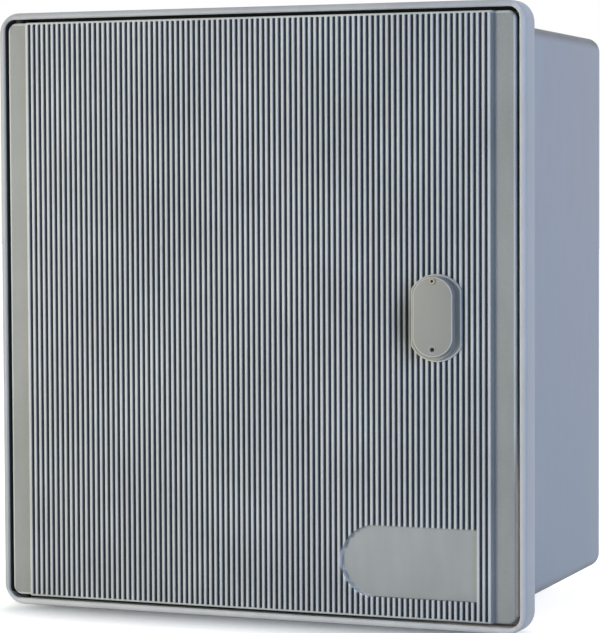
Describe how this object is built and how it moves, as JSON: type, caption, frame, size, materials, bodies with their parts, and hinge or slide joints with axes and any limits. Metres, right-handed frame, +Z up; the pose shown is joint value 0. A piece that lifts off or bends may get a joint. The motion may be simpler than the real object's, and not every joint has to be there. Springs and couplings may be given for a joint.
{
  "type": "electric meter box",
  "caption": "Wall-mounted moulded electric meter box: a drafted tub with a flanged frame, an inset vertically ribbed hinged door and an oval quarter-turn lock under a swinging cover.",
  "frame": {"origin": "centre of the back face, which lies against the wall, in the middle of the four wall holes", "axes": "+Y from the door back into the wall, +X to the right when facing the door, +Z up"},
  "size_m": [0.384, 0.228, 0.41],
  "materials": {
    "box_grey": "moulded glass-fibre polyester, fine satin skin, cool grey",
    "door_grey": "moulded glass-fibre polyester, fine satin skin, neutral grey",
    "lock_grey": "powder-coated die casting, satin grey",
    "zinc_steel": "bright zinc-plated steel",
    "board": "pale insulating board",
    "black_nylon": "black moulded nylon",
    "black_rubber": "soft black cellular rubber"
  },
  "bodies": {
    "box": {"box_body": "box_grey", "door_seal": "black_rubber", "mounting_plate": "board", "plate_screws": "zinc_steel", "strike_plate": "zinc_steel", "strike_screws": "zinc_steel"},
    "door": {"door_panel": "door_grey", "hinge_pin_upper": "zinc_steel", "hinge_pin_lower": "zinc_steel", "hinge_washer_upper": "black_nylon", "hinge_washer_lower": "black_nylon", "lock_case": "lock_grey", "lock_nut": "zinc_steel", "cover_rivet": "zinc_steel"},
    "cover": {"lock_cover": "lock_grey"},
    "lock_rotor": {"lock_spindle": "zinc_steel", "spindle_ring": "black_rubber", "lock_cam": "zinc_steel", "cam_washer": "zinc_steel", "cam_screw": "zinc_steel"}
  },
  "joints": [
    {"name": "door_hinge", "type": "hinge", "parent": "box", "child": "door", "pos_m": [-0.1775, -0.2095, 0], "axis": [0, 0, -1], "range_deg": [0, 100]},
    {"name": "lock_turn", "type": "hinge", "parent": "door", "child": "lock_rotor", "pos_m": [0.1323, -0.205, 0], "axis": [0, -1, 0], "range_deg": [0, 90]},
    {"name": "cover_swing", "type": "hinge", "parent": "door", "child": "cover", "pos_m": [0.1323, -0.2256, 0.0242], "axis": [0, -1, 0], "continuous": true}
  ]
}
